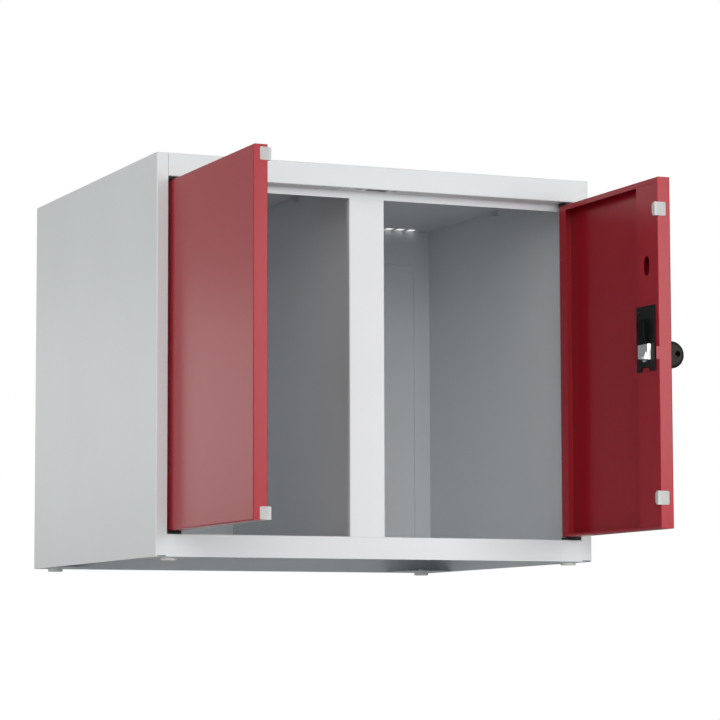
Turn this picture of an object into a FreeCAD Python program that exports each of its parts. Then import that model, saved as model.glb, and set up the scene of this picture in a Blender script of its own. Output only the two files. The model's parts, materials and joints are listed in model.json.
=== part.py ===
import FreeCAD, Part
import Sketcher
import os

# Two-door stacking cabinet in folded sheet steel.
# Frame: +Z up, the front faces -Y, origin on the floor plane at the centre of the footprint.
# Both doors stand open at 90 degrees in the rest position.
# All lengths are millimetres.

V = FreeCAD.Vector
doc = FreeCAD.newDocument("stacking_cabinet")
sheet = doc.addObject("Spreadsheet::Sheet", "dims")


class Dim:
    """A length that knows both its number and the expression that gives it."""

    def __init__(self, text, value):
        self.text = text
        self.value = value

    def _join(self, sign, a, b, value):
        return Dim("(%s %s %s)" % (a.text, sign, b.text), value)

    def __add__(self, o):
        o = dim(o)
        return self._join("+", self, o, self.value + o.value)

    def __radd__(self, o):
        return dim(o) + self

    def __sub__(self, o):
        o = dim(o)
        return self._join("-", self, o, self.value - o.value)

    def __rsub__(self, o):
        return dim(o) - self

    def __mul__(self, o):
        o = dim(o)
        return self._join("*", self, o, self.value * o.value)

    def __rmul__(self, o):
        return dim(o) * self

    def __truediv__(self, o):
        o = dim(o)
        return self._join("/", self, o, self.value / o.value)

    def __neg__(self):
        return dim(0.0) - self


def dim(x):
    if isinstance(x, Dim):
        return x
    return Dim("(%.6f)" % float(x), float(x))


rows = []


def cell(alias, value, note):
    rows.append(alias)
    n = len(rows)
    sheet.set("A%d" % n, note)
    sheet.set("B%d" % n, "%g" % value)
    sheet.setAlias("B%d" % n, alias)
    return Dim("dims.%s" % alias, float(value))


# carcass
W = cell("width", 600, "body width")
D = cell("depth", 500, "body depth")
H = cell("height", 500, "body height above the feet")
FOOT = cell("foot_height", 4, "height of the glides below the body")
T = cell("sheet_steel", 1.0, "sheet thickness")
BEND_IN = cell("bend_inner", 0.6, "inner bend radius")
BEND_OUT = cell("bend_outer", 1.6, "outer bend radius")
POST_W = cell("post_width", 15, "front post face width")
POST_RET = cell("post_return", 24, "depth of the post's inward return")
REAR = cell("rear_flange", 15, "rear flange of the side panels")
FASCIA = cell("fascia_height", 29.5, "top fascia height")
RAIL = cell("rail_height", 28, "bottom rail height")
STRIKE_Y = cell("strike_setback", 26, "strike face behind the front plane")
STRIKE_H = cell("strike_height", 9, "strike strip height under the fascia")
SEAM = cell("seam_gap", 0.15, "gap between left post and fascia")
BUTT = cell("butt_line", 13.2, "butt joint of rail or fascia and post, from the side")
BUTT_G = cell("butt_gap", 0.01, "gap in those butt joints")
FIT = cell("sheet_fit", 0.2, "gap between fitted sheets")
NOTCH = cell("post_foot_notch", 1.6, "posts stop this far above the lower edge")
CP0 = cell("centre_post_left", 269.4, "centre post left edge from the left side")
CP1 = cell("centre_post_right", 318.2, "centre post right edge from the left side")
CP_RET = cell("centre_post_return", 8.5, "centre post return depth")
PART_X = cell("partition_at", 291.4, "partition left face from the left side")
PART_FL = cell("partition_flange", 12, "rear flange of the partition")
FIELD_E = cell("field_raise", 1.2, "height of the pressed field in the back")
FIELD_G = cell("field_groove", 0.5, "depth of the pressed line round the field")
FIELD_IN = cell("field_margin", 26, "field edge from the side")
FIELD_MID = cell("field_middle", 316, "field edge beside the partition, from the side")
FIELD_Z0 = cell("field_low", 50, "field lower edge")
FIELD_Z1 = cell("field_high", 449, "field upper edge")
VENT_L = cell("vent_length", 12.5, "vent slot length")
VENT_B = cell("vent_breadth", 17.5, "vent slot breadth")
VENT_P = cell("vent_pitch", 17.7, "vent slot pitch")
VENT_N = 15
VENT_X = cell("vent_end", 28, "last vent slot from the side")
VENT_Y = cell("vent_back", 11.8, "vent row centre from the back")
GUS = cell("gusset_side", 70, "corner gusset side length")
GUS_C = cell("gusset_cut", 24, "corner gusset cut-off")
GUS_T = cell("gusset_sheet", 1.2, "corner gusset thickness")
FOOT_R = cell("foot_radius", 10, "glide radius")
FOOT_X = cell("foot_inset_side", 24.5, "glide centre from the sides")
FOOT_AT = cell("foot_inset", 20, "glide centre from the front and back")
STEM_R = cell("foot_stem_radius", 4, "glide stem radius")
BOLT_R = cell("bolt_hole_radius", 4.5, "base bolt hole radius")
BOLT_AT = cell("bolt_inset", 45, "base bolt hole from the sides")
TAB_L = cell("tab_length", 20, "hook tab length")
TAB_B = cell("tab_breadth", 9, "hook tab breadth")
TAB_T = cell("tab_sheet", 1.2, "hook tab thickness")

# hinges
PIV_X = cell("pivot_from_side", 24, "pivot axis from the side")
PIV_Y = cell("pivot_from_front", 9, "pivot axis behind the front plane")
PIN_R = cell("pin_radius", 3, "pivot pin radius")
RUN = cell("running_gap", 0.05, "radial running clearance")
BUSH_W = cell("bush_width", 19, "bush plate width")
BUSH_D = cell("bush_depth", 20.3, "bush plate depth")
BUSH_T = cell("bush_height", 3.6, "bush plate thickness")

# doors
DZ0 = cell("door_low", 32, "door lower edge above the body's lower edge")
DZ1 = cell("door_high", 466, "door upper edge above the body's lower edge")
DT = cell("door_depth", 18, "door pan depth")
FACE = cell("face_offset", 5.5, "pivot axis to the door's outer face")
EDGE = cell("edge_offset", 4.5, "pivot axis to the door's hinge edge")
LW = cell("left_door_width", 293.5, "left door width")
RW = cell("right_door_width", 265, "right door width")
LIP_H = cell("hinge_lip", 19, "hinge side lip width")
LIP_T = cell("top_lip", 7, "top lip width")
LIP_B = cell("bottom_lip", 3.6, "bottom lip width")
LIP_F = cell("free_lip", 22, "free side lip of the left door")
STILE = cell("lock_stile", 54, "lock stile width of the right door")
BUF_P = cell("buffer_proud", 4.1, "buffer height over the door's inner face")
BUF_E = cell("buffer_edge", 0.6, "buffer thickness over the door's edge")
BUF_W = cell("buffer_wrap", 7.6, "buffer length on the inner face")
STUD_R = cell("buffer_stud", 1.8, "buffer stud radius")
PIN_B = cell("pin_plate", 3.5, "thickness of the plates that hold the pins")

# lock
LOCK_D = cell("lock_backset", 33, "spindle axis from the free edge")
LOCK_Z = cell("lock_height", 250, "spindle axis above the body's lower edge")
SP_R = cell("spindle_radius", 4, "spindle radius")
PL_D0 = cell("plate_near", 8.1, "inner plate near edge from the free edge")
PL_D1 = cell("plate_far", 53.8, "inner plate far edge from the free edge")
PL_Z0 = cell("plate_low", 227, "inner plate lower edge")
PL_Z1 = cell("plate_high", 308, "inner plate upper edge")
PL_T = cell("plate_thick", 2, "inner plate thickness")
HUB_W = cell("hub_width", 26.4, "latch hub width")
HUB_X = cell("hub_offset", 2.4, "latch hub centre from the spindle, to the free edge")
HUB_H = cell("hub_height", 19.2, "latch hub height")
HUB_Z = cell("hub_drop", 9.2, "latch hub lower edge under the spindle")
HUB_T = cell("hub_thick", 4.0, "latch hub thickness")
TON_L = cell("tongue_reach", 42, "tongue reach from the spindle axis")
TON_W = cell("tongue_width", 16, "tongue width")
TON_T = cell("tongue_thick", 2, "tongue thickness")
HUB_C = cell("hub_draft", 0.9, "lean of the latch hub's free edge side")
HUB_E = cell("hub_bevel", 0.5, "bevel along the latch hub's lower edge")
HUB_R = cell("hub_rise", 2.6, "rise of the latch hub's lower edge to its far end")
GRIP_P = cell("grip_proud", 3.6, "height of the finger grip on the latch hub")
GRIP_F = cell("grip_foot", 6.8, "height of the foot of the finger grip")
GRIP_L = cell("grip_length", 11.4, "length of the finger grip on the latch hub")
GRIP_B = cell("grip_breadth", 2.6, "thickness of the finger grip on the latch hub")
GRIP_X = cell("grip_offset", 10.5, "finger grip face from the spindle, to the free edge")
NUB_X = cell("nub_offset", 2.0, "latch hub nub from the spindle, to the free edge")
NUB_W = cell("nub_width", 10, "latch hub nub width")
NUB_H = cell("nub_height", 2.2, "latch hub nub height")
TON_O = cell("tongue_offset", 6.6, "tongue end above the door's inner face")
KNOB_R = cell("knob_radius", 17, "knob radius")
KNOB_P = cell("knob_proud", 32.5, "knob height over the door's outer face")
KNOB_B = cell("knob_base", 5, "knob base thickness")
FIN_B = cell("fin_breadth", 15.6, "knob fin thickness")
FIN_R = cell("fin_radius", 16.9, "radius of the knob fin's outline")
FIN_D = cell("fin_drop", 1.1, "knob fin centre under the spindle")
EYE_R = cell("eye_radius", 3.8, "padlock eye radius")
EYE_P = cell("eye_proud", 22.3, "padlock eye over the door's outer face")
OVAL_W = cell("oval_width", 14, "stile cut-out width")
OVAL_H = cell("oval_height", 24, "stile cut-out height")
OVAL_D = cell("oval_backset", 29.5, "stile cut-out from the free edge")
OVAL_Z = cell("oval_centre", 358, "stile cut-out centre height")

doc.recompute()

YF = -(D / 2)
YB = D / 2
ZB = FOOT
ZT = FOOT + H
made = []


def X(a):
    """A distance from the left side as a coordinate."""
    return dim(a) - W / 2


def Y(a):
    """A distance behind the front plane as a coordinate."""
    return dim(a) - D / 2


def Z(a):
    """A height above the body's lower edge as a coordinate."""
    return dim(a) + FOOT


def bind(obj, prop, d):
    obj.setExpression(prop, dim(d).text)


def keep(obj, label):
    obj.Label = label
    made.append(obj)
    return obj


# ---------------------------------------------------------------- solids

def box(name, x0, x1, y0, y1, z0, z1):
    b = doc.addObject("Part::Box", name)
    bind(b, "Length", dim(x1) - x0)
    bind(b, "Width", dim(y1) - y0)
    bind(b, "Height", dim(z1) - z0)
    bind(b, "Placement.Base.x", x0)
    bind(b, "Placement.Base.y", y0)
    bind(b, "Placement.Base.z", z0)
    return b


TURN = {
    "z": FreeCAD.Rotation(),
    "y": FreeCAD.Rotation(V(1, 0, 0), -90),
    "x": FreeCAD.Rotation(V(0, 1, 0), 90),
}


def rod(name, radius, axis, x, y, z, length):
    """A cylinder from the given point along the positive axis."""
    c = doc.addObject("Part::Cylinder", name)
    c.Placement = FreeCAD.Placement(V(0, 0, 0), TURN[axis])
    bind(c, "Radius", radius)
    bind(c, "Height", length)
    bind(c, "Placement.Base.x", x)
    bind(c, "Placement.Base.y", y)
    bind(c, "Placement.Base.z", z)
    return c


def fuse(name, parts):
    f = doc.addObject("Part::MultiFuse", name)
    f.Shapes = parts
    f.Refine = True
    return f


def cut(name, base, tools):
    c = doc.addObject("Part::Cut", name)
    c.Base = base
    c.Tool = tools[0] if len(tools) == 1 else fuse(name + "_tools", tools)
    return c


def along(edge, axis):
    if not isinstance(edge.Curve, Part.Line):
        return False
    d = edge.Curve.Direction
    return abs(abs(d.dot(axis)) - 1.0) < 1e-6


def middle(edge):
    return edge.valueAt((edge.FirstParameter + edge.LastParameter) / 2.0)


def eased(kind, name, base, size, pick):
    """Rounds or bevels the edges of a solid that pick chooses."""
    doc.recompute()
    f = doc.addObject(kind, name)
    f.Base = base
    picked = [
        (i + 1, size.value, size.value)
        for i, e in enumerate(base.Shape.Edges)
        if pick(e)
    ]
    if not picked:
        raise ValueError("no edge chosen on " + name)
    f.Edges = picked
    return f


# ---------------------------------------------------------------- folded sheets

def plane(body, role):
    for f in body.Origin.OriginFeatures:
        if f.Role == role:
            return f
    raise ValueError(role)


def sketch(body, name, role, offset, loops, circles=()):
    """A sketch whose every corner is tied to the dimension sheet."""
    s = body.newObject("Sketcher::SketchObject", name)
    s.AttachmentSupport = [(plane(body, role), "")]
    s.MapMode = "FlatFace"
    bind(s, "AttachmentOffset.Base.z", offset)
    for pts in loops:
        pts = [(dim(a), dim(b)) for a, b in pts]
        first, n = s.GeometryCount, len(pts)
        for i in range(n):
            a, b = pts[i], pts[(i + 1) % n]
            s.addGeometry(
                Part.LineSegment(
                    V(a[0].value, a[1].value, 0), V(b[0].value, b[1].value, 0)
                ),
                False,
            )
        for i in range(n):
            s.addConstraint(
                Sketcher.Constraint("Coincident", first + i, 2, first + (i + 1) % n, 1)
            )
        for i in range(n):
            for kind, d in (("DistanceX", pts[i][0]), ("DistanceY", pts[i][1])):
                k = s.addConstraint(
                    Sketcher.Constraint(kind, -1, 1, first + i, 1, d.value)
                )
                s.setExpression("Constraints[%d]" % k, d.text)
    for cx, cy, r in circles:
        cx, cy, r = dim(cx), dim(cy), dim(r)
        g = s.addGeometry(
            Part.Circle(V(cx.value, cy.value, 0), V(0, 0, 1), r.value), False
        )
        for kind, d in (("DistanceX", cx), ("DistanceY", cy)):
            k = s.addConstraint(Sketcher.Constraint(kind, -1, 1, g, 3, d.value))
            s.setExpression("Constraints[%d]" % k, d.text)
        k = s.addConstraint(Sketcher.Constraint("Radius", g, r.value))
        s.setExpression("Constraints[%d]" % k, r.text)
    return s


def volume(body):
    doc.recompute()
    return body.Shape.Volume


def pad(body, name, profile, length):
    p = body.newObject("PartDesign::Pad", name)
    p.Profile = profile
    bind(p, "Length", length)
    body.Tip = p
    return p


def pocket(body, name, profile, length):
    """A cut against the sketch's normal; it has to take material away."""
    before = volume(body)
    p = body.newObject("PartDesign::Pocket", name)
    p.Profile = profile
    bind(p, "Length", length)
    body.Tip = p
    if not volume(body) < before - 1e-6:
        raise ValueError("cut without effect: " + name)
    return p


def bend(body, name, base, axis, at, radius):
    """Rounds the fold lines that run along axis through the given points."""
    doc.recompute()
    letter = {"x": (1, 2), "y": (0, 2), "z": (0, 1)}[axis]
    unit = {"x": V(1, 0, 0), "y": V(0, 1, 0), "z": V(0, 0, 1)}[axis]
    names = []
    for i, e in enumerate(base.Shape.Edges):
        if not along(e, unit):
            continue
        m = middle(e)
        for a, b in at:
            if (
                abs(m[letter[0]] - dim(a).value) < 1e-4
                and abs(m[letter[1]] - dim(b).value) < 1e-4
            ):
                names.append("Edge%d" % (i + 1))
    if len(names) < len(at):
        raise ValueError("fold line missing on " + name)
    f = body.newObject("PartDesign::Fillet", name)
    f.Base = (base, names)
    bind(f, "Radius", radius)
    body.Tip = f
    return f


def new_body(label):
    b = doc.addObject("PartDesign::Body", label)
    return keep(b, label)


# ---------------------------------------------------------------- side panels
# Outer wall, front post face, the post's inward return and a rear flange, folded from one sheet.

def side_panel(label, left):
    def sx(a):
        return X(a) if left else W / 2 - a

    b = new_body(label)
    pts = [
        (sx(0), Y(0)),
        (sx(POST_W), Y(0)),
        (sx(POST_W), Y(POST_RET)),
        (sx(POST_W - T), Y(POST_RET)),
        (sx(POST_W - T), Y(T)),
        (sx(T), Y(T)),
        (sx(T), YB - T),
        (sx(REAR), YB - T),
        (sx(REAR), YB),
        (sx(0), YB),
    ]
    p = pad(b, label + "_wall", sketch(b, label + "_plan", "XY_Plane", ZB, [pts]), H)
    f = bend(
        b,
        label + "_folds",
        p,
        "z",
        [(sx(0), Y(0)), (sx(0), YB)],
        BEND_OUT,
    )
    f = bend(b, label + "_post_fold", f, "z", [(sx(POST_W), Y(0))], BEND_OUT * 0.4)
    bend(
        b,
        label + "_inner_folds",
        f,
        "z",
        [(sx(T), Y(T)), (sx(POST_W - T), Y(T)), (sx(T), YB - T)],
        BEND_IN,
    )
    # the roof sheet passes over the post's return
    a0, a1 = sx(T + 0.7), sx(POST_W + 0.2)
    b0, b1 = Y(T + 0.7), Y(POST_RET + 0.2)
    s = sketch(
        b, label + "_roof_line", "XY_Plane", ZT, [[(a0, b0), (a1, b0), (a1, b1), (a0, b1)]]
    )
    pocket(b, label + "_roof_seat", s, T + 0.3)
    # the post ends a little above the side wall's lower edge
    a0, b0 = sx(BEND_OUT + 0.2), Y(-0.2)
    s = sketch(
        b, label + "_foot_line", "XY_Plane", Z(NOTCH), [[(a0, b0), (a1, b0), (a1, b1), (a0, b1)]]
    )
    pocket(b, label + "_foot_notch", s, NOTCH + 1)
    # the fold is cut away where the rail, and on the right the fascia, butts against the post
    c0 = sx(BUTT)
    s = sketch(
        b, label + "_rail_line", "XY_Plane", Z(RAIL + BUTT_G), [[(c0, b0), (a1, b0), (a1, b1), (c0, b1)]]
    )
    pocket(b, label + "_rail_notch", s, RAIL + 1)
    if not left:
        s = sketch(
            b, label + "_fascia_line", "XY_Plane", ZT + 1, [[(c0, b0), (a1, b0), (a1, b1), (c0, b1)]]
        )
        pocket(b, label + "_fascia_notch", s, FASCIA + 1 + BUTT_G)
    return b


side_panel("left_side_panel", True)
side_panel("right_side_panel", False)

# ---------------------------------------------------------------- top panel
# Roof sheet, fascia, the fascia's underside and the strike strip, folded from one sheet.

top = new_body("top_panel")
FZ = H - FASCIA
span = W - (POST_W + SEAM) - (BUTT + BUTT_G)
pts = [
    (Y(D - 1.7), ZT),
    (Y(0), ZT),
    (Y(0), Z(FZ)),
    (Y(STRIKE_Y), Z(FZ)),
    (Y(STRIKE_Y), Z(FZ - STRIKE_H)),
    (Y(STRIKE_Y + T), Z(FZ - STRIKE_H)),
    (Y(STRIKE_Y + T), Z(FZ + T)),
    (Y(T), Z(FZ + T)),
    (Y(T), ZT - T),
    (Y(D - 1.7), ZT - T),
]
p = pad(
    top,
    "top_fold",
    sketch(top, "top_profile", "YZ_Plane", X(POST_W + SEAM), [pts]),
    span,
)
f = bend(top, "top_folds", p, "x", [(Y(0), ZT), (Y(0), Z(FZ))], BEND_OUT)
bend(top, "top_inner_folds", f, "x", [(Y(T), ZT - T), (Y(T), Z(FZ + T))], BEND_IN)
# the channel behind the fascia is closed at its back
c0, c1 = Y(STRIKE_Y), Y(STRIKE_Y + T)
d0, d1 = Z(FZ), ZT - T / 2
pad(
    top,
    "top_channel_back",
    sketch(
        top,
        "top_channel_line",
        "YZ_Plane",
        X(POST_W + SEAM),
        [[(c0, d0), (c1, d0), (c1, d1), (c0, d1)]],
    ),
    span,
)
e0, e1 = X(T + FIT), W / 2 - (T + FIT)
f0, f1 = Y(T + 0.8), Y(D - 1.7)
pad(
    top,
    "top_wings",
    sketch(top, "top_outline", "XY_Plane", ZT - T, [[(e0, f0), (e1, f0), (e1, f1), (e0, f1)]]),
    T,
)


def rect(x0, x1, y0, y1):
    return [(x0, y0), (x1, y0), (x1, y1), (x0, y1)]


# openings in the fascia's underside: one long slot with a short one at each side, and the pin holes
s = sketch(
    top,
    "top_underside_slots",
    "XY_Plane",
    Z(FZ + T + 0.4),
    [
        rect(X(285), X(314.7), Y(2.2), Y(17)),
        rect(X(269), X(279), Y(2.2), Y(10)),
        rect(X(320.3), X(328), Y(2.2), Y(10)),
    ],
    [
        (X(PIV_X), Y(PIV_Y), PIN_R + 0.5),
        (W / 2 - PIV_X, Y(PIV_Y), PIN_R + 0.5),
    ],
)
pocket(top, "top_underside_openings", s, T + 0.8)
# a row of vent slots near the back of each compartment
for side in ("left", "right"):
    if side == "left":
        v0 = X(VENT_X)
        v1 = v0 + VENT_L
    else:
        v0 = W / 2 - VENT_X - VENT_L - VENT_P * (VENT_N - 1)
        v1 = v0 + VENT_L
    s = sketch(
        top,
        "vent_%s_slot" % side,
        "XY_Plane",
        ZT + 0.4,
        [rect(v0, v1, Y(D - VENT_Y - VENT_B / 2), Y(D - VENT_Y + VENT_B / 2))],
    )
    k = pocket(top, "vent_%s_cut" % side, s, T + 0.8)
    one = top.Shape.Volume
    lp = top.newObject("PartDesign::LinearPattern", "vent_%s_row" % side)
    lp.Originals = [k]
    lp.Direction = (s, ["H_Axis"])
    bind(lp, "Length", VENT_P * (VENT_N - 1))
    lp.Occurrences = VENT_N
    top.Tip = lp
    if not volume(top) < one - 100:
        raise ValueError("vent row without effect")

# ---------------------------------------------------------------- bottom panel
# Floor sheet with the front rail folded down from it.

bottom = new_body("bottom_panel")
pts = [
    (Y(0), Z(0)),
    (Y(T), Z(0)),
    (Y(T), Z(RAIL - T)),
    (Y(D - 2.1), Z(RAIL - T)),
    (Y(D - 2.1), Z(RAIL)),
    (Y(0), Z(RAIL)),
]
p = pad(
    bottom,
    "bottom_fold",
    sketch(bottom, "bottom_profile", "YZ_Plane", X(BUTT + BUTT_G), [pts]),
    W - 2 * (BUTT + BUTT_G),
)
f = bend(bottom, "bottom_folds", p, "x", [(Y(0), Z(RAIL))], BEND_OUT)
bend(bottom, "bottom_inner_folds", f, "x", [(Y(T), Z(RAIL - T))], BEND_IN)
f0, f1 = Y(POST_RET + 0.3), Y(D - 2.1)
pad(
    bottom,
    "bottom_wings",
    sketch(bottom, "bottom_outline", "XY_Plane", Z(RAIL - T), [rect(e0, e1, f0, f1)]),
    T,
)
s = sketch(
    bottom,
    "bottom_pin_holes",
    "XY_Plane",
    Z(RAIL + 0.4),
    [],
    [
        (X(PIV_X), Y(PIV_Y), PIN_R + 0.5),
        (W / 2 - PIV_X, Y(PIV_Y), PIN_R + 0.5),
    ],
)
pocket(bottom, "bottom_pin_openings", s, T + 0.8)

# ---------------------------------------------------------------- back panel
# Flat sheet with one shallow pressed field behind each compartment and a pressed line round it. Its
# rear edges are bevelled to sit in the folds of the rear flanges.

sheet_back = box("back_sheet", X(T + 0.05), W / 2 - T - 0.05, YB - 2 * T, YB - T, Z(0), ZT - T - 0.1)
rear = (YB - T).value
sheet_back = eased(
    "Part::Chamfer",
    "back_sheet_bevel",
    sheet_back,
    BEND_IN + 0.1,
    lambda e: all(abs(v.Point.y - rear) < 1e-6 for v in e.Vertexes)
    and abs(e.Vertexes[0].Point.x - e.Vertexes[-1].Point.x) < 1e-6,
)
raised, hollow, lines = [], [], []
for side in ("left", "right"):
    if side == "left":
        x0, x1 = X(FIELD_IN), W / 2 - FIELD_MID
    else:
        x0, x1 = X(FIELD_MID), W / 2 - FIELD_IN
    lines.append(
        box(
            "field_%s_line" % side,
            x0 - 0.6,
            x1 + 0.6,
            YB - 2 * T - 1,
            YB - 2 * T + FIELD_G,
            Z(FIELD_Z0) - 1.2,
            Z(FIELD_Z1) + 1.2,
        )
    )
    r = box(
        "field_%s" % side,
        x0,
        x1,
        YB - 2 * T - FIELD_E,
        YB - 2 * T + FIELD_G,
        Z(FIELD_Z0),
        Z(FIELD_Z1),
    )
    front = (YB - 2 * T - FIELD_E).value
    raised.append(
        eased(
            "Part::Chamfer",
            "field_%s_slope" % side,
            r,
            FIELD_E * 0.9,
            lambda e: all(abs(v.Point.y - front) < 1e-6 for v in e.Vertexes),
        )
    )
    hollow.append(
        box(
            "field_%s_hollow" % side,
            x0 + 1.2,
            x1 - 1.2,
            YB - T - FIELD_E,
            YB,
            Z(FIELD_Z0) + 1.2,
            Z(FIELD_Z1) - 1.2,
        )
    )
sheet_back = cut("back_sheet_lines", sheet_back, lines)
keep(cut("back_panel", fuse("back_pressed", [sheet_back] + raised), hollow), "back_panel")

# ---------------------------------------------------------------- centre post
# Shallow channel in the strike plane; the right return has a slot for the latch tongue.

post = new_body("centre_post")
q0, q1 = X(CP0), X(CP1)
pts = [
    (q0, Y(STRIKE_Y)),
    (q1, Y(STRIKE_Y)),
    (q1, Y(STRIKE_Y + CP_RET)),
    (q1 - T, Y(STRIKE_Y + CP_RET)),
    (q1 - T, Y(STRIKE_Y + T)),
    (q0 + T, Y(STRIKE_Y + T)),
    (q0 + T, Y(STRIKE_Y + CP_RET)),
    (q0, Y(STRIKE_Y + CP_RET)),
]
p = pad(
    post,
    "centre_post_wall",
    sketch(post, "centre_post_plan", "XY_Plane", Z(RAIL), [pts]),
    FZ - STRIKE_H - RAIL,
)
f = bend(post, "centre_post_folds", p, "z", [(q0, Y(STRIKE_Y)), (q1, Y(STRIKE_Y))], BEND_OUT)
bend(
    post,
    "centre_post_inner_folds",
    f,
    "z",
    [(q0 + T, Y(STRIKE_Y + T)), (q1 - T, Y(STRIKE_Y + T))],
    BEND_IN,
)
s = sketch(
    post,
    "centre_post_slot",
    "YZ_Plane",
    q1 + 0.4,
    [rect(Y(STRIKE_Y + T + 0.2), Y(STRIKE_Y + CP_RET - 2), Z(LOCK_Z - 18), Z(LOCK_Z + 48))],
)
pocket(post, "centre_post_latch_slot", s, T + 0.8)

# ---------------------------------------------------------------- partition

wall = new_body("centre_partition")
w0, wy0, wy1 = X(PART_X), Y(STRIKE_Y + T + 0.05), Y(D - 2.1)
pts = [
    (w0, wy0),
    (w0 + T, wy0),
    (w0 + T, wy1 - T),
    (w0 + PART_FL, wy1 - T),
    (w0 + PART_FL, wy1),
    (w0, wy1),
]
p = pad(
    wall,
    "partition_wall",
    sketch(wall, "partition_plan", "XY_Plane", Z(RAIL), [pts]),
    H - RAIL - T - 0.1,
)
f = bend(wall, "partition_fold", p, "z", [(w0, wy1)], BEND_OUT)
bend(wall, "partition_inner_fold", f, "z", [(w0 + T, wy1 - T)], BEND_IN)

# ---------------------------------------------------------------- corner gussets and glides

plates, feet = [], []
for i, (sx, sy) in enumerate(((-1, -1), (1, -1), (-1, 1), (1, 1))):
    xa = W / 2 - T - 0.05
    ya = D / 2 - (T + 7 if sy < 0 else 2 * T + 0.05)
    near = (W / 2 - GUS, D / 2 - GUS)
    x0, x1 = (-xa, -near[0]) if sx < 0 else (near[0], xa)
    y0, y1 = (-ya, -near[1]) if sy < 0 else (near[1], ya)
    g = box("gusset_%d_blank" % i, x0, x1, y0, y1, Z(0), Z(GUS_T))
    cx, cy = near[0].value * sx, near[1].value * sy
    g = eased(
        "Part::Chamfer",
        "gusset_%d_trim" % i,
        g,
        GUS_C,
        lambda e: along(e, V(0, 0, 1))
        and abs(middle(e).x - cx) < 1e-4
        and abs(middle(e).y - cy) < 1e-4,
    )
    fx = (W / 2 - FOOT_X) * sx
    fy = (D / 2 - FOOT_AT) * sy
    bx = (W / 2 - BOLT_AT) * sx
    by = (D / 2 - BOLT_AT) * sy
    plates.append(
        cut(
            "gusset_%d" % i,
            g,
            [
                rod("gusset_%d_stem_hole" % i, STEM_R + RUN, "z", fx, fy, Z(-1), GUS_T + 2),
                rod("gusset_%d_bolt_hole" % i, BOLT_R, "z", bx, by, Z(-1), GUS_T + 2),
            ],
        )
    )
    disc = rod("glide_%d_disc" % i, FOOT_R, "z", fx, fy, 0, FOOT)
    disc = eased(
        "Part::Fillet",
        "glide_%d_round" % i,
        disc,
        FOOT_R * 0.08,
        lambda e: isinstance(e.Curve, Part.Circle) and abs(middle(e).z) < 1e-6,
    )
    stem = rod("glide_%d_stem" % i, STEM_R, "z", fx, fy, FOOT - 0.5, GUS_T + 5)
    feet.append(fuse("glide_%d" % i, [disc, stem]))
keep(fuse("corner_gussets", plates), "corner_gussets")
keep(fuse("glide_feet", feet), "glide_feet")

# ---------------------------------------------------------------- hook tabs under the roof

tabs = []
tz1 = ZT - T - 0.4
for side, wx, sgn, ty in (
    ("left", X(PART_X), -1, 250),
    ("right", W / 2 - T, -1, 265),
):
    leg = box(
        "tab_%s_leg" % side, wx - TAB_T, wx, Y(ty), Y(ty) + TAB_L, tz1 - TAB_B, tz1
    )
    arm = box(
        "tab_%s_arm" % side,
        wx - TAB_B,
        wx,
        Y(ty),
        Y(ty) + TAB_L,
        tz1 - TAB_B,
        tz1 - TAB_B + TAB_T,
    )
    tabs.append(fuse("tab_%s" % side, [leg, arm]))
keep(fuse("wall_hook_tabs", tabs), "wall_hook_tabs")

# ---------------------------------------------------------------- bush plates

for side in ("left", "right"):
    pair = []
    for end in ("upper", "lower"):
        if side == "left":
            x0, x1, px = X(POST_W + 0.1), X(POST_W + 0.1 + BUSH_W), X(PIV_X)
        else:
            x0, x1 = W / 2 - (POST_W + 0.1 + BUSH_W), W / 2 - (POST_W + 0.1)
            px = W / 2 - PIV_X
        if end == "upper":
            z0, z1 = Z(FZ - BUSH_T), Z(FZ)
        else:
            z0, z1 = Z(RAIL), Z(RAIL + BUSH_T)
        name = "bush_%s_%s" % (side, end)
        blank = box(name + "_blank", x0, x1, Y(0.2), Y(0.2 + BUSH_D), z0, z1)
        blank = eased(
            "Part::Fillet", name + "_round", blank, BEND_OUT, lambda e: along(e, V(0, 0, 1))
        )
        pair.append(
            cut(
                name,
                blank,
                [rod(name + "_bore", PIN_R + RUN, "z", px, Y(PIV_Y), z0 - 1, BUSH_T + 2)],
            )
        )
    keep(fuse(side + "_pivot_bushes", pair), side + "_pivot_bushes")

# ---------------------------------------------------------------- doors
# Each door is drawn shut about its own pivot axis and then turned open by 90 degrees.
# u runs from the pivot axis towards the free edge, v from the outer face towards the inside.


def hang(obj, left):
    turn = -90 if left else 90
    obj.Placement = FreeCAD.Placement(V(0, 0, 0), FreeCAD.Rotation(V(0, 0, 1), turn))
    bind(obj, "Placement.Base.x", X(PIV_X) if left else W / 2 - PIV_X)
    bind(obj, "Placement.Base.y", Y(PIV_Y))
    return obj


def dbox(name, left, u0, u1, v0, v1, z0, z1):
    if left:
        return box(name, u0, u1, v0, v1, z0, z1)
    return box(name, -dim(u1), -dim(u0), v0, v1, z0, z1)


VO = -FACE
VI = DT - FACE


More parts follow.
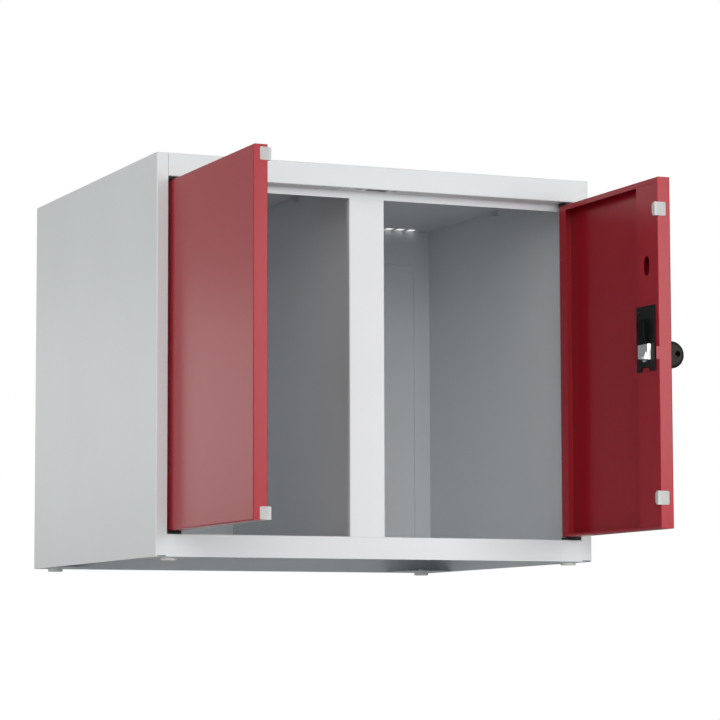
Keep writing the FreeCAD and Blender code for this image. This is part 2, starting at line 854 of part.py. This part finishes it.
def door_pan(side):
    left = side == "left"
    wide = LW if left else RW
    uh, uf = -EDGE, wide - EDGE
    n = side + "_door_"
    blank = dbox(n + "blank", left, uh, uf, VO, VI, Z(DZ0), Z(DZ1))
    blank = eased(
        "Part::Fillet", n + "folds", blank, BEND_OUT, lambda e: not along(e, V(0, 1, 0))
    )
    tools = []
    far = uf - (T if left else STILE)
    tools.append(
        dbox(n + "cavity", left, uh + T, far, VO + T, VI - T, Z(DZ0) + T, Z(DZ1) - T)
    )
    if not left:
        # the lock stile is a closed box along the free edge
        tools.append(
            dbox(
                n + "stile_cavity",
                left,
                uf - STILE + T,
                uf - T,
                VO + T,
                VI - T,
                Z(DZ0) + T,
                Z(DZ1) - T,
            )
        )
    tools.append(
        dbox(
            n + "window",
            left,
            uh + LIP_H,
            uf - (LIP_F if left else STILE),
            VI - T - 0.5,
            VI + 1,
            Z(DZ0) + LIP_B,
            Z(DZ1) - LIP_T,
        )
    )
    tools.append(rod(n + "pin_hole", PIN_R + RUN, "z", 0, 0, Z(DZ0) - 1, DZ1 - DZ0 + 2))
    return blank, tools, uh, uf


BUFFERS = {
    "left": (2.5, ((447.5, 462.9), (32.4, 47.6))),
    "right": (1.3, ((417.5, 434.5), (61.0, 78.0))),
}


def studs(side, uf, extra):
    """Push-in studs of the buffers, or their holes when extra is given."""
    left = side == "left"
    out = []
    for i, (z0, z1) in enumerate(BUFFERS[side][1]):
        u = uf - BUF_W + 2.5
        out.append(
            rod(
                "%s_stud_%s%d" % (side, "hole_" if extra else "", i),
                STUD_R + extra,
                "y",
                u if left else -u,
                VI - 3,
                Z((z0 + z1) / 2),
                dim(4 if extra else 3.2),
            )
        )
    return out


def buffers(side, uf):
    left = side == "left"
    v0, spans = BUFFERS[side]
    out = []
    pegs = studs(side, uf, 0)
    for i, (z0, z1) in enumerate(spans):
        n = "%s_buffer_%d" % (side, i)
        tile = dbox(n + "_tile", left, uf, uf + BUF_E, v0, VI + BUF_P, Z(z0), Z(z1))
        pad_ = dbox(n + "_pad", left, uf - BUF_W, uf + 0.3, VI, VI + BUF_P, Z(z0), Z(z1))
        body = fuse(n + "_blank", [tile, pad_])
        top_v, low_v = (VI + BUF_P).value, dim(v0).value
        end_u = (uf - BUF_W).value * (1 if left else -1)
        body = eased(
            "Part::Chamfer",
            n + "_end",
            body,
            BUF_W * 0.45,
            lambda e: along(e, V(0, 1, 0)) and abs(middle(e).x - end_u) < 1e-6,
        )
        body = eased(
            "Part::Fillet",
            n + "_corners",
            body,
            BUF_P * 0.4,
            lambda e: along(e, V(1, 0, 0)) and abs(middle(e).y - low_v) < 1e-6,
        )
        body = eased(
            "Part::Fillet",
            n + "_round",
            body,
            BUF_P * 0.16,
            lambda e: all(abs(p.Point.y - top_v) < 1e-6 for p in e.Vertexes),
        )
        out.append(fuse(n, [body, pegs[i]]))
    b = fuse(side + "_door_buffers", out)
    return keep(hang(b, left), side + "_door_buffers")


def pins(side):
    left = side == "left"
    n = side + "_pin_"
    hold = T + PIN_B + 0.02
    up = rod(n + "upper", PIN_R, "z", 0, 0, Z(DZ1 - hold), FZ + T + 2 - (DZ1 - hold))
    low = rod(n + "lower", PIN_R, "z", 0, 0, Z(RAIL - T - 2), DZ0 + hold - (RAIL - T - 2))
    ends = [up, low]
    b = fuse(side + "_door_pins", ends)
    keep(hang(b, left), side + "_door_pins")
    # plates welded in the corners of the pan hold the pins
    blocks = []
    for end, z0, z1 in (
        ("upper", Z(DZ1 - hold), Z(DZ1) - T - 0.02),
        ("lower", Z(DZ0) + T + 0.02, Z(DZ0 + hold)),
    ):
        k = dbox(n + end + "_block", left, -EDGE + T + 0.02, 9, VO + T + 0.02, 8, z0, z1)
        hole = rod(n + end + "_block_bore", PIN_R + 0.02, "z", 0, 0, z0 - 1, z1 - z0 + 2)
        blocks.append(cut(n + end + "_holder", k, [hole]))
    b = fuse(side + "_pin_brackets", blocks)
    keep(hang(b, left), side + "_pin_brackets")


# left door: a plain pan
blank, tools, uh, uf = door_pan("left")
tools += studs("left", uf, 0.05)
keep(hang(cut("left_door_shell", blank, tools), True), "left_door_shell")
buffers("left", uf)
pins("left")

# right door: the pan with its lock stile
JOIN = cell("stile_join", 0.6, "width and depth of the joint line of lips and stile")
blank, tools, uh, uf = door_pan("right")
tools += studs("right", uf, 0.05)
for i, z in enumerate((Z(DZ0) + LIP_B - JOIN, Z(DZ1) - LIP_T)):
    tools.append(
        dbox(
            "right_door_join_%d" % i,
            False,
            uf - STILE - 1,
            uf - BEND_OUT,
            VI - JOIN,
            VI + 1,
            z,
            z + JOIN,
        )
    )
US = uf - LOCK_D
SX = -US
LZ = Z(LOCK_Z)
tools.append(rod("right_door_spindle_hole", SP_R + 0.5, "y", SX, VO - 1, LZ, T + 2))
tools.append(rod("right_door_stile_hole", SP_R + 2, "y", SX, VI - T - 1, LZ, T + 2))
OX = -(uf - OVAL_D)
oh = (OVAL_H - OVAL_W) / 2
tools.append(
    box(
        "right_door_oval_mid",
        OX - OVAL_W / 2,
        OX + OVAL_W / 2,
        VI - T - 1,
        VI + 1,
        Z(OVAL_Z) - oh,
        Z(OVAL_Z) + oh,
    )
)
for i, sgn in enumerate((-1, 1)):
    tools.append(
        rod(
            "right_door_oval_%d" % i,
            OVAL_W / 2,
            "y",
            OX,
            VI - T - 1,
            Z(OVAL_Z) + oh * sgn,
            T + 2,
        )
    )
RIVETS = ((14.0, 300.0), (47.5, 300.0))
RIV_R = cell("rivet_radius", 1.5, "inner plate rivet radius")
doc.recompute()
for i, (d, z) in enumerate(RIVETS):
    tools.append(
        rod("right_door_rivet_hole_%d" % i, RIV_R + RUN, "y", -(uf - d), VI - T - 1, Z(z), T + 2)
    )
shell = cut("right_door_pan", blank, tools)
# a small tab stands up from the free edge beside the latch
tab = dbox(
    "right_door_tab", False, uf - T, uf - 0.02, VI - 2.5, VI + 3.9, Z(239.7), Z(255.3)
)
keep(hang(fuse("right_door_shell", [shell, tab]), False), "right_door_shell")
buffers("right", uf)
pins("right")

# ---------------------------------------------------------------- lock
# Knob, spindle, cranked tongue and latch hub turn together in a sleeve inside the stile.

VP = VI + PL_T

plate = new_body("lock_inner_plate")
a0, a1 = -(uf - PL_D0), -(uf - PL_D1)
n0, n1 = SX - 10, SX + 10
pts = [
    (a0, Z(PL_Z0)),
    (n0, Z(PL_Z0)),
    (n0, Z(PL_Z0 + 5)),
    (n1, Z(PL_Z0 + 5)),
    (n1, Z(PL_Z0)),
    (a1, Z(PL_Z0)),
    (a1, Z(PL_Z1)),
    (a0, Z(PL_Z1)),
]
p = pad(
    plate,
    "lock_plate_sheet",
    sketch(plate, "lock_plate_outline", "XZ_Plane", -VP, [pts]),
    PL_T,
)
hang(plate, False)
s = sketch(
    plate,
    "lock_plate_holes",
    "XZ_Plane",
    -(VI - 0.4),
    [],
    [(SX, LZ, SP_R + 0.5)] + [(-(uf - d), Z(z), RIV_R + RUN) for d, z in RIVETS],
)
pocket(plate, "lock_plate_openings", s, PL_T + 0.8)

heads = []
for i, (d, z) in enumerate(RIVETS):
    x = -(uf - d)
    shank = rod("rivet_%d_shank" % i, RIV_R, "y", x, VI - T - 0.8, Z(z), PL_T + T + 1.2)
    head = rod("rivet_%d_head" % i, RIV_R * 1.6, "y", x, VP, Z(z), RIV_R * 0.4)
    edge = (VP + RIV_R * 0.4).value
    head = eased(
        "Part::Fillet",
        "rivet_%d_dome" % i,
        head,
        RIV_R * 0.3,
        lambda e: isinstance(e.Curve, Part.Circle) and abs(middle(e).y - edge) < 1e-6,
    )
    tail = rod("rivet_%d_tail" % i, RIV_R * 1.5, "y", x, VI - T - 1.4, Z(z), RIV_R * 0.9)
    heads.append(fuse("rivet_%d" % i, [shank, head, tail]))
keep(hang(fuse("lock_plate_rivets", heads), False), "lock_plate_rivets")

sleeve = cut(
    "lock_housing",
    rod("lock_sleeve", SP_R * 2.25, "y", SX, VO + T + 0.05, LZ, DT - 2 * T - 0.1),
    [rod("lock_sleeve_bore", SP_R + RUN, "y", SX, VO, LZ, DT)],
)
keep(hang(sleeve, False), "lock_housing")

KV = VO - 0.4
SP_END = VP + 3.4
keep(
    hang(rod("lock_spindle", SP_R, "y", 0, 0, 0, SP_END - (KV - 8)), False), "lock_spindle"
)
spindle = made[-1]
# the spindle lies along the door's thickness, so once the door is open it lies along X
spindle.Placement = FreeCAD.Placement(V(0, 0, 0), FreeCAD.Rotation(V(0, 1, 0), -90))
bind(spindle, "Placement.Base.x", W / 2 - PIV_X - (KV - 8))
bind(spindle, "Placement.Base.y", Y(PIV_Y) + SX)
bind(spindle, "Placement.Base.z", LZ)

tongue = new_body("latch_tongue")
t0 = VP + 0.2
t1 = VI + TON_O
pts = [
    (t0, LZ - 8.5),
    (t0 + TON_T, LZ - 8.5),
    (t0 + TON_T, LZ + 14),
    (t1 + TON_T, LZ + 20),
    (t1 + TON_T, LZ + TON_L),
    (t1, LZ + TON_L),
    (t1, LZ + 20.8),
    (t0, LZ + 14.8),
]
p = pad(
    tongue,
    "latch_tongue_strip",
    sketch(tongue, "latch_tongue_profile", "YZ_Plane", SX - TON_W / 2, [pts]),
    TON_W,
)
doc.recompute()
tips = [
    "Edge%d" % (i + 1)
    for i, e in enumerate(p.Shape.Edges)
    if along(e, V(0, 1, 0)) and abs(middle(e).z - (LZ + TON_L).value) < 1e-4
]
f = tongue.newObject("PartDesign::Fillet", "latch_tongue_tip")
f.Base = (p, tips)
bind(f, "Radius", TON_W * 0.35)
tongue.Tip = f
s = sketch(
    tongue, "latch_tongue_bore", "XZ_Plane", -(t0 - 0.4), [], [(SX, LZ, SP_R + 0.02)]
)
pocket(tongue, "latch_tongue_opening", s, TON_T + 0.8)
hang(tongue, False)

# bright latch hub: a block with a leaning free side and a channel under it for the tongue
h0, h1 = VP + 0.2, VP + 0.2 + HUB_T
hx0, hx1 = SX - HUB_X - HUB_W / 2, SX - HUB_X + HUB_W / 2
hz = LZ - HUB_Z
hub = doc.addObject("PartDesign::Body", "latch_hub_blank")
s = sketch(
    hub,
    "latch_hub_plan",
    "XY_Plane",
    hz,
    [[(hx0, h0), (hx1, h0), (hx1, h1), (hx0 + HUB_C, h1)]],
)
pad(hub, "latch_hub_pad", s, HUB_H)
doc.recompute()
hub_top, hub_far, hub_low = h1.value, hx1.value, hz.value


def on_top(e):
    return all(abs(p.Point.y - hub_top) < 1e-6 for p in e.Vertexes)


hub = eased(
    "Part::Chamfer",
    "latch_hub_bevel",
    hub,
    HUB_E,
    lambda e: on_top(e) and along(e, V(1, 0, 0)) and abs(middle(e).z - hub_low) < 1e-6,
)
hub = eased(
    "Part::Chamfer",
    "latch_hub_edge",
    hub,
    HUB_T * 0.12,
    lambda e: on_top(e) and along(e, V(0, 0, 1)) and abs(middle(e).x - hub_far) < 1e-6,
)
rise = doc.addObject("PartDesign::Body", "latch_hub_rise")
s = sketch(
    rise,
    "latch_hub_rise_outline",
    "XZ_Plane",
    -(h1 + 1),
    [[(hx0 + 8, hz - 0.5), (hx1 + 1, hz - 0.5), (hx1 + 1, hz + HUB_R), (hx0 + 8, hz)]],
)
pad(rise, "latch_hub_rise_wedge", s, HUB_T + 2)
hub = cut(
    "latch_hub_block",
    hub,
    [
        rise,
        box(
            "latch_hub_channel",
            SX - TON_W / 2 - 0.05,
            SX + TON_W / 2 + 0.05,
            h0 - 1,
            h0 + TON_T + 0.05,
            LZ - 8.6,
            LZ + HUB_H,
        ),
        rod("latch_hub_bore", SP_R + 0.02, "y", SX, h0 - 1, LZ, SP_END - h0 + 1.05),
    ],
)
nub = box(
    "latch_hub_nub_blank",
    SX - NUB_X - NUB_W / 2,
    SX - NUB_X + NUB_W / 2,
    h0,
    h0 + HUB_T * 0.45,
    hz - NUB_H,
    hz + 0.4,
)
nub_low = (hz - NUB_H).value
nub = eased(
    "Part::Chamfer",
    "latch_hub_nub",
    nub,
    NUB_H * 0.9,
    lambda e: along(e, V(0, 1, 0)) and abs(middle(e).z - nub_low) < 1e-6,
)
# finger grip: a fin that stands higher towards its lower end and flares into a foot
grip = doc.addObject("PartDesign::Body", "latch_hub_grip")
g0 = hz + HUB_E + 0.3
s = sketch(
    grip,
    "latch_hub_grip_side",
    "YZ_Plane",
    SX - GRIP_X,
    [
        [
            (h1 - 0.6, g0),
            (h1 + GRIP_F, g0),
            (h1 + GRIP_F, g0 + 1.2),
            (h1 + GRIP_P * 0.7, g0 + 2.8),
            (h1 - 0.6, g0 + GRIP_L),
        ]
    ],
)
pad(grip, "latch_hub_grip_fin", s, GRIP_B)
keep(hang(fuse("latch_hub", [hub, nub, grip]), False), "latch_hub")

# knob: a round base with an upright rounded fin that carries the padlock eye
tip = VO - KNOB_P
base = rod("lock_knob_base", KNOB_R, "y", SX, KV - KNOB_B, LZ, KNOB_B)
base_out = (KV - KNOB_B).value
base = eased(
    "Part::Fillet",
    "lock_knob_base_round",
    base,
    KNOB_B * 0.3,
    lambda e: isinstance(e.Curve, Part.Circle) and abs(middle(e).y - base_out) < 1e-6,
)
fin_low = box(
    "lock_knob_fin_low",
    SX - FIN_B / 2,
    SX + FIN_B / 2,
    tip + FIN_R,
    KV - KNOB_B * 0.5,
    LZ - FIN_D - FIN_R,
    LZ - FIN_D + FIN_R,
)
fin_tip = rod("lock_knob_fin_tip", FIN_R, "x", SX - FIN_B / 2, tip + FIN_R, LZ - FIN_D, FIN_B)
fin = fuse("lock_knob_fin", [fin_low, fin_tip])
sides = ((SX - FIN_B / 2).value, (SX + FIN_B / 2).value)
fin_foot = (KV - KNOB_B * 0.5).value
fin = eased(
    "Part::Fillet",
    "lock_knob_fin_round",
    fin,
    FIN_B * 0.28,
    lambda e: any(all(abs(p.Point.x - s) < 1e-4 for p in e.Vertexes) for s in sides)
    and not all(abs(p.Point.y - fin_foot) < 1e-4 for p in e.Vertexes),
)
knob = cut(
    "lock_knob",
    fuse("lock_knob_blank", [base, fin]),
    [
        rod("lock_knob_bore", SP_R + 0.02, "y", SX, KV - 8.05, LZ, dim(9)),
        box(
            "lock_knob_back",
            SX - KNOB_R * 1.5,
            SX + KNOB_R * 1.5,
            KV,
            KV + KNOB_B,
            LZ - KNOB_R * 1.5,
            LZ + KNOB_R * 1.5,
        ),
        rod("lock_knob_eye", EYE_R, "x", SX - FIN_B, VO - EYE_P, LZ, FIN_B * 2),
    ],
)
keep(hang(knob, False), "lock_knob")

# ---------------------------------------------------------------- check and write

doc.recompute()
bad = [o.Name for o in doc.Objects if "Invalid" in o.State or "Error" in o.State]
if bad:
    raise RuntimeError("failed objects: " + ", ".join(bad))
for o in made:
    sh = o.Shape
    if sh.isNull() or not sh.isValid() or not sh.Solids:
        raise RuntimeError("bad shape: " + o.Label)

os.makedirs("parts", exist_ok=True)
for o in made:
    o.Shape.exportStep("parts/%s.step" % o.Label)
    bb = o.Shape.BoundBox
    print(
        "%-22s solids %d  volume %.1f  x %.2f..%.2f  y %.2f..%.2f  z %.2f..%.2f"
        % (
            o.Label,
            len(o.Shape.Solids),
            o.Shape.Volume,
            bb.XMin,
            bb.XMax,
            bb.YMin,
            bb.YMax,
            bb.ZMin,
            bb.ZMax,
        )
    )
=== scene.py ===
"""Looks of a two-door sheet-steel stacking cabinet: powder-coated carcass and doors, moulded
plastic buffers, bushes and glides, and a turning latch with bright and blackened steel parts.
Everything is in metres, +Z up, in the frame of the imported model."""

import json
import math

import bpy
from mathutils import Matrix, Vector

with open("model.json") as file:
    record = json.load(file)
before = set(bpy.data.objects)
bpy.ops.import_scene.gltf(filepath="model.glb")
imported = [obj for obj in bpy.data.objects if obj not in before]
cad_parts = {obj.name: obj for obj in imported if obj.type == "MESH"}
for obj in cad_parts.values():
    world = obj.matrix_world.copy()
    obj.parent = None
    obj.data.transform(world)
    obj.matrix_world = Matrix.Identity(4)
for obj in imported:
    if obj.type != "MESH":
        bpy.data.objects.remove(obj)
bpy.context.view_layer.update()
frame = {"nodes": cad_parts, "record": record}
nodes = frame["nodes"]
scene = bpy.context.scene


# ---------------------------------------------------------------- node helpers
class Graph:
    """A material's node tree, built a node at a time."""

    def __init__(self, name):
        self.mat = bpy.data.materials.new(name)
        self.mat.use_nodes = True
        self.tree = self.mat.node_tree
        self.tree.nodes.clear()
        self.out = self.add("ShaderNodeOutputMaterial")
        self.bsdf = self.add("ShaderNodeBsdfPrincipled")
        self.link(self.bsdf.outputs[0], self.out.inputs[0])
        self.coord = self.add("ShaderNodeTexCoord").outputs["Object"]

    def add(self, kind, **props):
        node = self.tree.nodes.new(kind)
        for key, value in props.items():
            setattr(node, key, value)
        return node

    def link(self, a, b):
        self.tree.links.new(a, b)

    def set(self, **sockets):
        for key, value in sockets.items():
            self.bsdf.inputs[key.replace("_", " ")].default_value = value

    def noise(self, scale, detail=2.0, rough=0.5, stretch=None, vector=None, distortion=0.0):
        """A noise value from 0 to 1. scale is in cells per metre; stretch scales each axis."""
        node = self.add("ShaderNodeTexNoise")
        node.inputs["Scale"].default_value = scale
        node.inputs["Detail"].default_value = detail
        node.inputs["Roughness"].default_value = rough
        node.inputs["Distortion"].default_value = distortion
        src = vector if vector is not None else self.coord
        if stretch:
            place = self.add("ShaderNodeMapping")
            place.inputs["Scale"].default_value = stretch
            self.link(src, place.inputs[0])
            src = place.outputs[0]
        self.link(src, node.inputs["Vector"])
        return node.outputs[0]

    def ramp(self, value, stops):
        """A colour ramp: stops are (position, colour) pairs."""
        node = self.add("ShaderNodeValToRGB")
        el = node.color_ramp.elements
        while len(el) < len(stops):
            el.new(0.5)
        for e, (pos, col) in zip(el, stops):
            e.position = pos
            e.color = (*col, 1.0) if len(col) == 3 else col
        self.link(value, node.inputs[0])
        return node.outputs[0]

    def span(self, value, lo, hi, a=0.3, b=0.7):
        """value, which runs from about a to b, spread over lo..hi."""
        node = self.add("ShaderNodeMapRange")
        node.inputs["From Min"].default_value = a
        node.inputs["From Max"].default_value = b
        node.inputs["To Min"].default_value = lo
        node.inputs["To Max"].default_value = hi
        self.link(value, node.inputs["Value"])
        return node.outputs[0]

    def bump(self, height, distance, strength=1.0, normal=None):
        node = self.add("ShaderNodeBump")
        node.inputs["Strength"].default_value = strength
        node.inputs["Distance"].default_value = distance
        self.link(height, node.inputs["Height"])
        if normal is not None:
            self.link(normal, node.inputs["Normal"])
        return node.outputs[0]


def tint(col, k):
    return tuple(min(1.0, c * k) for c in col)


# ---------------------------------------------------------------- materials
def powder_coat(name, col, rough, peel, specular=0.5, wave=1.0):
    """Baked powder paint: an even colour with faint slow drifts, a fine orange-peel skin about
    1.5 mm from crest to crest, and the long, shallow waviness of thin sheet."""
    g = Graph(name)
    drift = g.noise(5.0, 3.0)
    g.link(g.ramp(drift, [(0.30, tint(col, 0.975)), (0.50, col), (0.72, tint(col, 1.02))]),
           g.bsdf.inputs["Base Color"])
    g.link(g.span(g.noise(90.0, 3.0), rough - 0.012, rough + 0.012), g.bsdf.inputs["Roughness"])
    g.set(Specular_IOR_Level=specular)
    sheet = g.bump(g.noise(4.5, 1.0), 0.0009 * wave, 0.35)
    skin = g.bump(g.noise(620.0, 2.0, 0.45), 0.00004 * peel, 1.0, sheet)
    g.link(skin, g.bsdf.inputs["Normal"])
    return g.mat


def moulded(name, col, rough, grain, spread=0.06, subsurface=0.0, specular=0.5):
    """Injection-moulded plastic with a fine spark-eroded grain and a faint flow mottle."""
    g = Graph(name)
    flow = g.noise(160.0, 3.0, distortion=0.6)
    g.link(g.ramp(flow, [(0.28, tint(col, 1.0 - spread)), (0.5, col), (0.75, tint(col, 1.0 + spread))]),
           g.bsdf.inputs["Base Color"])
    g.link(g.span(g.noise(420.0, 3.0), rough - 0.06, rough + 0.06), g.bsdf.inputs["Roughness"])
    g.link(g.bump(g.noise(2600.0, 2.0, 0.6), 0.00003 * grain), g.bsdf.inputs["Normal"])
    g.set(Specular_IOR_Level=specular)
    if subsurface:
        g.set(Subsurface_Weight=subsurface, Subsurface_Scale=0.004, Subsurface_Radius=(1.0, 1.0, 0.95))
    return g.mat


def plated(name, lo, hi, rough, spangle, streak, metal=1.0):
    """Bare or plated steel: cloudy crystals and fine drawn streaks along Z."""
    g = Graph(name)
    cloud = g.noise(spangle, 3.0, distortion=0.4)
    g.link(g.ramp(cloud, [(0.30, lo), (0.70, hi)]), g.bsdf.inputs["Base Color"])
    g.set(Metallic=metal)
    lines = g.noise(700.0, 3.0, stretch=(1.0, 1.0, 0.06))
    g.link(g.span(lines, rough - 0.05, rough + 0.08), g.bsdf.inputs["Roughness"])
    g.link(g.bump(lines, 0.00002 * streak), g.bsdf.inputs["Normal"])
    return g.mat


GREY = (0.700, 0.732, 0.757)
RED = (0.365, 0.0115, 0.0225)
mats = {
    "body_paint": powder_coat("grey_powder_coat", GREY, 0.34, 0.7, 0.38),
    "door_paint": powder_coat("red_powder_coat", RED, 0.26, 0.35, 0.31, 0.35),
    "black_plastic": moulded("black_moulding", (0.0060, 0.0062, 0.0066), 0.46, 1.0, specular=0.25),
    "pale_plastic": moulded("pale_moulding", (0.585, 0.593, 0.593), 0.46, 0.7, 0.015, 0.75),
    "zinc_steel": plated("zinc_plate", (0.54, 0.56, 0.60), (0.68, 0.70, 0.72), 0.34, 260.0, 1.0),
    "black_steel": plated("black_oxide", (0.009, 0.0095, 0.0105), (0.018, 0.0185, 0.020), 0.46, 300.0, 1.0),
    "latch_chrome": plated("bright_chrome", (0.82, 0.83, 0.84), (0.89, 0.89, 0.90), 0.31, 120.0, 0.5, 0.85),
}
# painted light: the glides take a lighter copy of the pale moulding, brightened to stand in for the light
# the feet catch
glide_lit_copy_mat = moulded("glide_moulding_painted_light", (0.76, 0.765, 0.76), 0.42, 0.7, 0.015, 0.15)
slot_of = {}
for entry in frame["record"]["materials"]:
    for n in entry.get("nodes", []):
        slot_of[n] = entry["slot"]
for name, obj in nodes.items():
    slot = slot_of.get(name) or (obj.data.materials[0].name if obj.data.materials else "body_paint")
    obj.data.materials.clear()
    obj.data.materials.append(glide_lit_copy_mat if name == "glide_feet" else mats[slot])


# ---------------------------------------------------------------- stage
def disc(name, radius, z, rings=24, segs=96):
    """A flat round floor."""
    verts, faces = [(0.0, 0.0, z)], []
    for i in range(1, rings + 1):
        r = radius * i / rings
        for k in range(segs):
            t = 2.0 * math.pi * k / segs
            verts.append((r * math.cos(t), r * math.sin(t), z))
    for k in range(segs):
        faces.append((0, 1 + k, 1 + (k + 1) % segs))
    for i in range(1, rings):
        a, b = 1 + (i - 1) * segs, 1 + i * segs
        for k in range(segs):
            n = (k + 1) % segs
            faces.append((a + k, b + k, b + n, a + n))
    mesh = bpy.data.meshes.new(name)
    mesh.from_pydata(verts, [], faces)
    mesh.update()
    obj = bpy.data.objects.new(name, mesh)
    scene.collection.objects.link(obj)
    return obj


FLOOR_Z = -0.40
floor = disc("studio_floor", 2.8, FLOOR_Z)
g = Graph("pale_floor")
g.link(g.ramp(g.noise(2.2, 4.0), [(0.30, (0.47, 0.475, 0.48)), (0.70, (0.51, 0.515, 0.52))]),
       g.bsdf.inputs["Base Color"])
g.link(g.span(g.noise(24.0, 3.0), 0.72, 0.84), g.bsdf.inputs["Roughness"])
g.link(g.bump(g.noise(180.0, 3.0), 0.0002, 0.5), g.bsdf.inputs["Normal"])
clear = g.add("ShaderNodeBsdfTransparent")
fade = g.add("ShaderNodeMixShader")
dist = g.add("ShaderNodeVectorMath", operation="LENGTH")
g.link(g.coord, dist.inputs[0])
g.link(g.span(dist.outputs["Value"], 0.0, 1.0, 1.2, 2.6), fade.inputs[0])
g.link(g.bsdf.outputs[0], fade.inputs[1])
g.link(clear.outputs[0], fade.inputs[2])
g.link(fade.outputs[0], g.out.inputs[0])
floor.data.materials.append(g.mat)

# soft studio surround: a white cyclorama whose brightness changes slowly with direction
LOBES = {   # name: (direction, sharpness, strength)
    "front": ((0.0, -0.94, 0.34), 8.0, 0.39),
    "front_core": ((0.0, -0.92, 0.40), 24.0, 0.30),
    "front_half_left": ((-0.35, -0.85, 0.38), 24.0, 1.88),
    "front_left": ((-0.60, -0.75, 0.10), 8.0, 0.84),
    "front_level": ((0.0, -1.0, 0.05), 24.0, 0.50),
    "front_right": ((0.395, -0.91, 0.10), 30.0, 0.22),
    "high_left": ((-0.60, -0.70, 0.38), 8.0, 0.32),
    "low_left": ((-0.90, -0.10, -0.30), 8.0, 0.60),
    "behind_left": ((-0.70, 0.70, 0.0), 4.0, 0.74),
    "right": ((1.0, 0.0, 0.25), 12.0, 0.50),
    "behind": ((0.15, 1.0, 0.30), 12.0, 0.50),
    "above": ((0.0, 0.0, 1.0), 30.0, 5.0),
}
world = bpy.data.worlds.new("studio")
scene.world = world
world.use_nodes = True
wt = world.node_tree
wt.nodes.clear()
w_out = wt.nodes.new("ShaderNodeOutputWorld")
w_dir = wt.nodes.new("ShaderNodeTexCoord").outputs["Generated"]
total = None
for name, (axis, power, strength) in LOBES.items():
    dot = wt.nodes.new("ShaderNodeVectorMath")
    dot.operation = "DOT_PRODUCT"
    dot.inputs[1].default_value = Vector(axis).normalized()
    wt.links.new(w_dir, dot.inputs[0])
    pos = wt.nodes.new("ShaderNodeMath")
    pos.operation = "MAXIMUM"
    pos.inputs[1].default_value = 0.0
    wt.links.new(dot.outputs["Value"], pos.inputs[0])
    sharp = wt.nodes.new("ShaderNodeMath")
    sharp.operation = "POWER"
    sharp.inputs[1].default_value = power
    wt.links.new(pos.outputs[0], sharp.inputs[0])
    gain = wt.nodes.new("ShaderNodeMath")
    gain.name = "lobe_" + name
    gain.operation = "MULTIPLY"
    gain.inputs[1].default_value = strength
    wt.links.new(sharp.outputs[0], gain.inputs[0])
    if total is None:
        total = gain.outputs[0]
    else:
        plus = wt.nodes.new("ShaderNodeMath")
        plus.operation = "ADD"
        wt.links.new(total, plus.inputs[0])
        wt.links.new(gain.outputs[0], plus.inputs[1])
        total = plus.outputs[0]
w_light = wt.nodes.new("ShaderNodeBackground")
w_light.inputs["Color"].default_value = (1.0, 0.994, 0.973, 1.0)
wt.links.new(total, w_light.inputs["Strength"])
w_plain = wt.nodes.new("ShaderNodeBackground")
w_plain.inputs["Color"].default_value = (1.0, 1.0, 1.0, 1.0)
w_plain.inputs["Strength"].default_value = 1.0
w_path = wt.nodes.new("ShaderNodeLightPath")
w_mix = wt.nodes.new("ShaderNodeMixShader")
wt.links.new(w_path.outputs["Is Camera Ray"], w_mix.inputs[0])
wt.links.new(w_light.outputs[0], w_mix.inputs[1])
wt.links.new(w_plain.outputs[0], w_mix.inputs[2])
wt.links.new(w_mix.outputs[0], w_out.inputs[0])


def softbox(name, at, look, size, power, col=(1.0, 0.994, 0.973)):
    """A large rectangular soft light at a point, turned to another point."""
    lamp = bpy.data.lights.new(name, "AREA")
    lamp.shape = "RECTANGLE"
    lamp.size, lamp.size_y = size
    lamp.energy = power
    lamp.color = col
    obj = bpy.data.objects.new(name, lamp)
    obj.location = at
    obj.rotation_euler = (Vector(look) - Vector(at)).to_track_quat("-Z", "Y").to_euler()
    scene.collection.objects.link(obj)
    return obj


softbox("key_softbox", (0.75, -2.0, 0.45), (0.1, -0.2, 0.25), (0.9, 0.7), 11.4)
softbox("front_softbox", (-0.75, -2.9, 0.62), (0.0, -0.2, 0.25), (2.0, 0.9), 15.0)
softbox("left_softbox", (-2.6, -0.2, 0.70), (-0.3, 0.0, 0.25), (1.8, 1.2), 6.0)
softbox("back_softbox", (-1.45, 3.0, 0.45), (-0.3, -0.1, 0.25), (1.3, 0.6), 2.2)

# ---------------------------------------------------------------- camera
cam_data = bpy.data.cameras.new("camera")
cam_data.sensor_width = 36.0
cam_data.lens = 148.86
cam_data.clip_start, cam_data.clip_end = 0.1, 100.0
cam = bpy.data.objects.new("camera", cam_data)
yaw, pitch, roll = math.radians(23.393), math.radians(5.857), math.radians(-0.166)
ahead = Vector((math.sin(yaw) * math.cos(pitch), math.cos(yaw) * math.cos(pitch), math.sin(pitch)))
side = Vector((math.cos(yaw), -math.sin(yaw), 0.0))
up = side.cross(ahead)
r2 = side * math.cos(roll) + up * math.sin(roll)
u2 = up * math.cos(roll) - side * math.sin(roll)
cam.matrix_world = Matrix((
    (r2.x, u2.x, -ahead.x, -1.5144),
    (r2.y, u2.y, -ahead.y, -3.6873),
    (r2.z, u2.z, -ahead.z, -0.1290),
    (0.0, 0.0, 0.0, 1.0)))
scene.collection.objects.link(cam)
scene.camera = cam
scene.view_settings.view_transform = "Standard"
